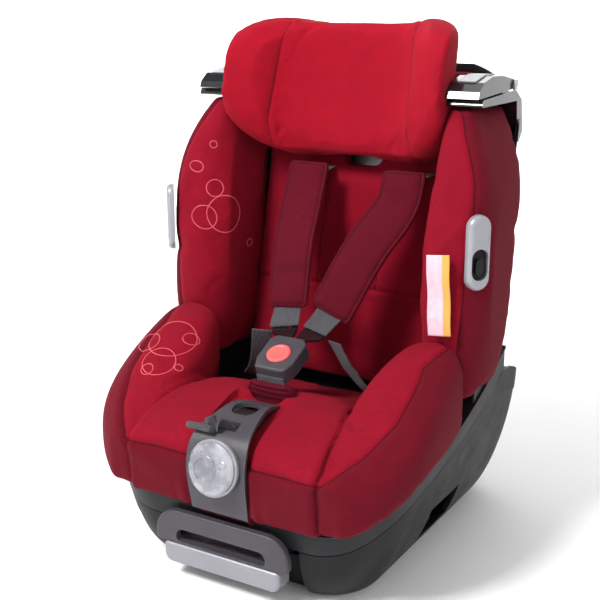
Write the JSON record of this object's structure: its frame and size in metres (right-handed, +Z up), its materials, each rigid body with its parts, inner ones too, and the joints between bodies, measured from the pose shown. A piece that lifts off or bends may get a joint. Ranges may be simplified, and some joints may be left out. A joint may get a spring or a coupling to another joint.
{
  "type": "convertible car seat",
  "caption": "Convertible child car seat: padded bucket on a reclining base, height-adjustable winged headrest, harness with buckle, belt clamps and mode knob.",
  "frame": {"origin": "on the floor plane, under the middle of the seat width, about where the seat cushion meets the backrest", "axes": "+Z up, the child faces -Y, +X is the left side of the child"},
  "size_m": [0.4568, 0.4909, 0.6504],
  "materials": {
    "base_black": "fine grained moulded plastic",
    "rim_grey": "fine grained moulded plastic",
    "trim_grey": "satin moulded plastic",
    "gloss_black": "polished plastic",
    "grip_silver": "satin silver paint on plastic",
    "plate_silver": "silver painted plastic",
    "clear_dome": "frosted clear plastic",
    "red_plastic": "red plastic",
    "button_red": "glossy red plastic",
    "steel": "zinc plated steel",
    "red_fabric": "knitted polyester cover on foam",
    "wine_fabric": "knitted polyester cover on foam",
    "bright_fabric": "knitted polyester cover on foam",
    "webbing": "woven polyester webbing",
    "foot_rubber": "matt rubber",
    "label": "woven blank tag"
  },
  "bodies": {
    "base": {"base_tray": "base_black", "base_cover": "base_black", "rails": "base_black", "recline_rack": "steel", "base_screws": "steel", "belt_guides": "red_plastic", "base_feet": "foot_rubber"},
    "seat": {"seat_shell": "rim_grey", "shell_rim": "rim_grey", "back_cover": "base_black", "back_cover_screws": "steel", "runners": "steel", "guide_pins": "steel", "latch_brackets": "steel", "front_trim": "trim_grey", "adjuster_frame": "trim_grey", "adjuster_strap": "webbing", "buckle_housing": "trim_grey", "crotch_strap": "webbing", "crotch_pad": "wine_fabric", "shoulder_strap_left": "webbing", "shoulder_strap_right": "webbing", "shoulder_pad_left": "wine_fabric", "shoulder_pad_right": "wine_fabric", "lap_strap_left": "webbing", "lap_strap_right": "webbing", "harness_yoke": "steel", "seat_cushion": "red_fabric", "back_cushion": "red_fabric", "thigh_bolster_left": "red_fabric", "thigh_bolster_right": "red_fabric", "wing_pad_left": "red_fabric", "wing_pad_right": "red_fabric", "headrest_guides": "base_black", "clamp_base_left": "gloss_black", "clamp_base_right": "gloss_black", "clamp_pins": "steel", "holder_plates": "plate_silver", "holder_hooks": "base_black", "care_label": "label"},
    "headrest": {"headrest_pad": "bright_fabric", "headrest_frame": "base_black", "headrest_carrier": "steel"},
    "headrest_lever": {"headrest_lever": "grip_silver"},
    "recline_handle": {"handle_frame": "trim_grey", "handle_grip": "grip_silver", "pull_rods": "steel"},
    "recline_bolt": {"recline_bolt": "steel"},
    "mode_knob": {"knob_disc": "plate_silver", "knob_dome": "clear_dome", "knob_shaft": "trim_grey"},
    "adjuster_button": {"adjuster_button": "base_black"},
    "buckle_button": {"buckle_button": "button_red"},
    "tongue_left": {"tongue_left": "gloss_black"},
    "tongue_right": {"tongue_right": "gloss_black"},
    "clamp_lever_left": {"clamp_lever_left": "gloss_black", "clamp_plate_left": "plate_silver"},
    "clamp_lever_right": {"clamp_lever_right": "gloss_black", "clamp_plate_right": "plate_silver"}
  },
  "joints": [
    {"name": "recline", "type": "hinge", "parent": "base", "child": "seat", "pos_m": [0, -0.276, 0.768], "axis": [-1, 0, 0], "range_deg": [0, 12]},
    {"name": "headrest_height", "type": "slide", "parent": "seat", "child": "headrest", "axis": [0, 0.1994, 0.9799], "range_m": [0, 0.08]},
    {"name": "headrest_release", "type": "hinge", "parent": "headrest", "child": "headrest_lever", "pos_m": [0, 0.08978, 0.60969], "axis": [1, 0, 0], "range_deg": [0, 12], "stiffness_Nm_per_rad": 0.4, "springref_deg": -11.46},
    {"name": "handle_pull", "type": "slide", "parent": "seat", "child": "recline_handle", "axis": [0, -1, 0], "range_m": [0, 0.014], "stiffness_N_per_m": 600, "springref_m": -0.01},
    {"name": "bolt_lift", "type": "slide", "parent": "seat", "child": "recline_bolt", "axis": [0, 0, 1], "range_m": [0, 0.004]},
    {"name": "mode_select", "type": "hinge", "parent": "seat", "child": "mode_knob", "pos_m": [0, -0.291, 0.159], "axis": [0, -0.9781, 0.2079], "range_deg": [0, 90]},
    {"name": "adjuster_press", "type": "hinge", "parent": "seat", "child": "adjuster_button", "pos_m": [0, -0.22, 0.1985], "axis": [1, 0, 0], "range_deg": [0, 10], "stiffness_Nm_per_rad": 0.15, "springref_deg": -11.46},
    {"name": "buckle_press", "type": "slide", "parent": "seat", "child": "buckle_button", "axis": [0, 0.4384, -0.8988], "range_m": [0, 0.004], "stiffness_N_per_m": 900, "springref_m": -0.002},
    {"name": "tongue_left_release", "type": "slide", "parent": "seat", "child": "tongue_left", "axis": [0, 0.8988, 0.4384], "range_m": [0, 0.018]},
    {"name": "tongue_right_release", "type": "slide", "parent": "seat", "child": "tongue_right", "axis": [0, 0.8988, 0.4384], "range_m": [0, 0.018]},
    {"name": "clamp_left_open", "type": "hinge", "parent": "seat", "child": "clamp_lever_left", "pos_m": [0.172, 0.082, 0.568], "axis": [-1, 0, 0], "range_deg": [0, 60]},
    {"name": "clamp_right_open", "type": "hinge", "parent": "seat", "child": "clamp_lever_right", "pos_m": [-0.172, 0.082, 0.568], "axis": [-1, 0, 0], "range_deg": [0, 60]}
  ],
  "couplings": [
    {"joint": "bolt_lift", "follows": "handle_pull", "ratio": 0.28571}
  ]
}
